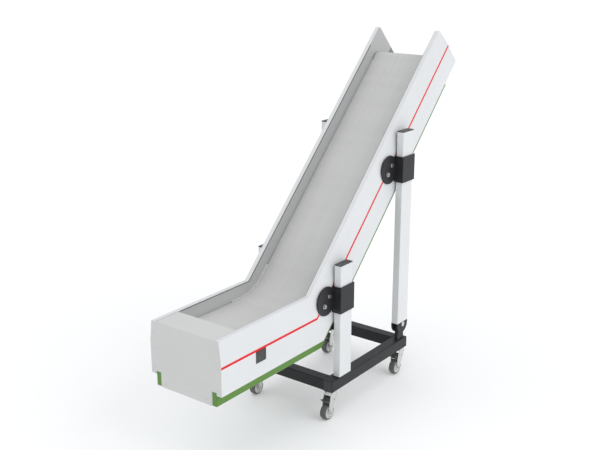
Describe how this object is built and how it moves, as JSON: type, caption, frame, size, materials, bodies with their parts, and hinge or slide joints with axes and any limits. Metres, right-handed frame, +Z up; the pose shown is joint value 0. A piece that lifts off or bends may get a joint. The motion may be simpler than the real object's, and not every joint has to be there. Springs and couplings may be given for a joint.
{
  "type": "belt conveyor section",
  "caption": "Swan-neck belt conveyor with a flat infeed and a steep climb, carried by clamps on columns of a stand with braked swivel castors.",
  "frame": {"origin": "on the floor, on the machine's centre plane, midway between the nose of the infeed and the furthest point of the discharge end", "axes": "+X the way the belt carries, from infeed to discharge; +Y across the belt to the left-hand side; +Z up"},
  "size_m": [1.9739, 0.528, 1.8264],
  "materials": {
    "black_paint": "satin black powder coat",
    "column_paint": "satin white powder coat",
    "black_plastic": "matte moulded",
    "bright_steel": "bright zinc plated",
    "zinc_steel": "galvanised",
    "panel_paint": "satin white powder coat",
    "red_stripe": "satin red film",
    "green_paint": "satin green powder coat",
    "cover_paint": "satin light grey powder coat",
    "belt_rubber": "smooth matt light grey belt cover",
    "guide_plastic": "low-friction plastic",
    "dark_steel": "dark steel",
    "fork_steel": "bright zinc plated pressing",
    "rim_plastic": "light grey moulded",
    "tyre_rubber": "grey elastic rubber",
    "pedal_plastic": "matte black moulded"
  },
  "bodies": {
    "stand": {"base_rail_right": "black_paint", "base_rail_left": "black_paint", "base_cross_front": "black_paint", "base_cross_rear": "black_paint", "front_column_right": "column_paint", "front_column_left": "column_paint", "front_column_caps": "black_plastic", "rear_foot_lugs": "black_paint", "rear_foot_pins": "bright_steel", "castor_mounts": "zinc_steel"},
    "front_clamps": {"front_clamp_right": "black_paint", "front_clamp_left": "black_paint", "front_clamp_screws": "bright_steel"},
    "rear_clamps": {"rear_clamp_right": "black_paint", "rear_clamp_left": "black_paint", "rear_clamp_screws": "bright_steel"},
    "rear_columns": {"rear_column_right": "column_paint", "rear_column_left": "column_paint", "rear_column_caps": "black_plastic", "rear_feet": "black_paint"},
    "conveyor": {"side_panel_right": "panel_paint", "side_panel_left": "panel_paint", "side_stripes": "red_stripe", "green_rail_right": "green_paint", "green_rail_left": "green_paint", "front_cover": "cover_paint", "sheet_screws": "bright_steel", "infeed_hood": "cover_paint", "slider_bed": "zinc_steel", "bed_cross_bars": "zinc_steel", "bottom_guard": "zinc_steel", "belt": "belt_rubber", "hold_down_guides": "guide_plastic", "idler_shafts": "bright_steel", "take_up_blocks": "dark_steel", "take_up_screws": "bright_steel", "drum_shaft": "bright_steel", "drum_motor": "dark_steel", "drum_brackets": "dark_steel", "pivot_bolts": "bright_steel", "access_plug": "black_plastic"},
    "tail_roller": {"tail_roller": "zinc_steel"},
    "drive_drum": {"drive_drum": "zinc_steel"},
    "return_roller": {"return_roller": "zinc_steel"},
    "castor_front_right": {"castor_fork_front_right": "fork_steel"},
    "wheel_front_right": {"castor_rim_front_right": "rim_plastic", "castor_tyre_front_right": "tyre_rubber"},
    "pedal_front_right": {"castor_pedal_front_right": "pedal_plastic"},
    "castor_front_left": {"castor_fork_front_left": "fork_steel"},
    "wheel_front_left": {"castor_rim_front_left": "rim_plastic", "castor_tyre_front_left": "tyre_rubber"},
    "pedal_front_left": {"castor_pedal_front_left": "pedal_plastic"},
    "castor_rear_right": {"castor_fork_rear_right": "fork_steel"},
    "wheel_rear_right": {"castor_rim_rear_right": "rim_plastic", "castor_tyre_rear_right": "tyre_rubber"},
    "pedal_rear_right": {"castor_pedal_rear_right": "pedal_plastic"},
    "castor_rear_left": {"castor_fork_rear_left": "fork_steel"},
    "wheel_rear_left": {"castor_rim_rear_left": "rim_plastic", "castor_tyre_rear_left": "tyre_rubber"},
    "pedal_rear_left": {"castor_pedal_rear_left": "pedal_plastic"}
  },
  "joints": [
    {"name": "lift", "type": "slide", "parent": "stand", "child": "front_clamps", "axis": [0, 0, 1], "range_m": [-0.1, 0.08]},
    {"name": "tilt", "type": "hinge", "parent": "front_clamps", "child": "conveyor", "pos_m": [-0.22558, 0, 0.62226], "axis": [0, -1, 0], "range_deg": [-3, 3]},
    {"name": "rear_clamp_pivot", "type": "hinge", "parent": "conveyor", "child": "rear_clamps", "pos_m": [0.3196, 0, 1.16744], "axis": [0, -1, 0], "range_deg": [-2, 2]},
    {"name": "rear_column_lean", "type": "hinge", "parent": "stand", "child": "rear_columns", "pos_m": [0.4291, 0, 0.295], "axis": [0, -1, 0], "range_deg": [-3, 3]},
    {"name": "drum_spin", "type": "hinge", "parent": "conveyor", "child": "drive_drum", "pos_m": [0.79265, 0, 1.65039], "axis": [0, 1, 0], "continuous": true},
    {"name": "tail_spin", "type": "hinge", "parent": "conveyor", "child": "tail_roller", "pos_m": [-0.91138, 0, 0.561], "axis": [0, 1, 0], "continuous": true},
    {"name": "return_spin", "type": "hinge", "parent": "conveyor", "child": "return_roller", "pos_m": [-0.29157, 0, 0.5485], "axis": [0, 1, 0], "continuous": true},
    {"name": "swivel_front_right", "type": "hinge", "parent": "stand", "child": "castor_front_right", "pos_m": [-0.19608, -0.2273, 0.13], "axis": [0, 0, 1], "continuous": true},
    {"name": "roll_front_right", "type": "hinge", "parent": "castor_front_right", "child": "wheel_front_right", "pos_m": [-0.23208, -0.2273, 0.04], "axis": [0, 1, 0], "continuous": true},
    {"name": "brake_front_right", "type": "hinge", "parent": "castor_front_right", "child": "pedal_front_right", "pos_m": [-0.20208, -0.2273, 0.102], "axis": [0, -1, 0], "range_deg": [0, 14]},
    {"name": "swivel_front_left", "type": "hinge", "parent": "stand", "child": "castor_front_left", "pos_m": [-0.19608, 0.2273, 0.13], "axis": [0, 0, 1], "continuous": true},
    {"name": "roll_front_left", "type": "hinge", "parent": "castor_front_left", "child": "wheel_front_left", "pos_m": [-0.23208, 0.2273, 0.04], "axis": [0, 1, 0], "continuous": true},
    {"name": "brake_front_left", "type": "hinge", "parent": "castor_front_left", "child": "pedal_front_left", "pos_m": [-0.20208, 0.2273, 0.102], "axis": [0, -1, 0], "range_deg": [0, 14]},
    {"name": "swivel_rear_right", "type": "hinge", "parent": "stand", "child": "castor_rear_right", "pos_m": [0.4491, -0.2273, 0.13], "axis": [0, 0, 1], "continuous": true},
    {"name": "roll_rear_right", "type": "hinge", "parent": "castor_rear_right", "child": "wheel_rear_right", "pos_m": [0.4131, -0.2273, 0.04], "axis": [0, 1, 0], "continuous": true},
    {"name": "brake_rear_right", "type": "hinge", "parent": "castor_rear_right", "child": "pedal_rear_right", "pos_m": [0.4431, -0.2273, 0.102], "axis": [0, -1, 0], "range_deg": [0, 14]},
    {"name": "swivel_rear_left", "type": "hinge", "parent": "stand", "child": "castor_rear_left", "pos_m": [0.4491, 0.2273, 0.13], "axis": [0, 0, 1], "continuous": true},
    {"name": "roll_rear_left", "type": "hinge", "parent": "castor_rear_left", "child": "wheel_rear_left", "pos_m": [0.4131, 0.2273, 0.04], "axis": [0, 1, 0], "continuous": true},
    {"name": "brake_rear_left", "type": "hinge", "parent": "castor_rear_left", "child": "pedal_rear_left", "pos_m": [0.4431, 0.2273, 0.102], "axis": [0, -1, 0], "range_deg": [0, 14]}
  ],
  "couplings": [
    {"joint": "rear_column_lean", "follows": "tilt", "ratio": 0.6249},
    {"joint": "rear_clamp_pivot", "follows": "tilt", "ratio": -0.3751},
    {"joint": "tail_spin", "follows": "drum_spin", "ratio": 1},
    {"joint": "return_spin", "follows": "drum_spin", "ratio": 1.4167}
  ]
}
